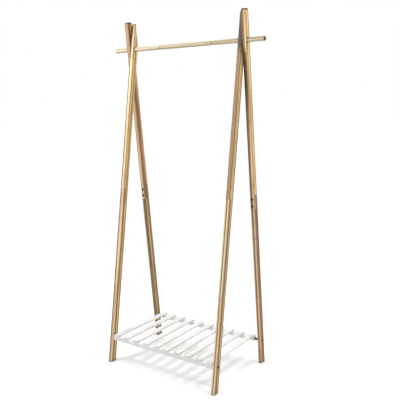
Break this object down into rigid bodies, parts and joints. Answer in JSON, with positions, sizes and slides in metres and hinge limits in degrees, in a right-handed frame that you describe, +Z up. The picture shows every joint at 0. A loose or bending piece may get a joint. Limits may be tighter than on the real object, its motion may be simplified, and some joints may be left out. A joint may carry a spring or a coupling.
{
  "type": "clothes rack",
  "caption": "Scissor-legged clothes rack of laminated bamboo with a round hanging rod through the crossed legs and a white slatted shelf near the floor.",
  "frame": {"origin": "on the floor, midway between the four feet, below the middle of the hanging rod", "axes": "+Z up, +X along the hanging rod to the right end, -Y towards the front legs"},
  "size_m": [0.829, 0.4402, 1.6565],
  "materials": {
    "bamboo": "clear satin lacquer on laminated bamboo strips",
    "bamboo_rod": "clear satin lacquer on turned laminated bamboo",
    "white_paint": "satin white paint on wood",
    "black_metal": "satin black coated steel",
    "black_plastic": "matt black nylon",
    "brass": "plain turned brass",
    "zinc": "bright zinc plated steel"
  },
  "bodies": {
    "front_frame": {"front_left_leg_lower": "bamboo", "front_left_leg_upper": "bamboo", "front_right_leg_lower": "bamboo", "front_right_leg_upper": "bamboo", "front_leg_bolts": "black_metal", "front_leg_inserts": "brass", "hanging_rod": "bamboo_rod", "rod_washers": "black_plastic", "front_shelf_bolts": "black_metal"},
    "rear_frame": {"rear_left_leg_lower": "bamboo", "rear_left_leg_upper": "bamboo", "rear_right_leg_lower": "bamboo", "rear_right_leg_upper": "bamboo", "rear_left_leg_bolts": "black_metal", "rear_left_leg_inserts": "brass", "rear_right_leg_bolts": "black_metal", "rear_right_leg_inserts": "brass", "rear_left_shelf_pin": "black_metal", "rear_left_shelf_spacer": "black_plastic", "rear_right_shelf_pin": "black_metal", "rear_right_shelf_spacer": "black_plastic"},
    "shelf": {"shelf_front_rail": "white_paint", "shelf_rear_rail": "white_paint", "shelf_slat_01": "white_paint", "shelf_slat_02": "white_paint", "shelf_slat_03": "white_paint", "shelf_slat_04": "white_paint", "shelf_slat_05": "white_paint", "shelf_slat_06": "white_paint", "shelf_slat_07": "white_paint", "shelf_slat_08": "white_paint", "shelf_slat_09": "white_paint", "shelf_slat_10": "white_paint", "shelf_slat_screws": "zinc", "shelf_pivot_inserts": "brass"}
  },
  "joints": [
    {"name": "leg_fold", "type": "hinge", "parent": "front_frame", "child": "rear_frame", "pos_m": [0, 0, 1.5275], "axis": [-1, 0, 0], "range_deg": [0, 14]},
    {"name": "shelf_lift", "type": "hinge", "parent": "front_frame", "child": "shelf", "pos_m": [0, -0.18725, 0.1185], "axis": [1, 0, 0], "range_deg": [0, 82]}
  ],
  "couplings": [
    {"joint": "shelf_lift", "follows": "leg_fold", "ratio": 5.857}
  ]
}
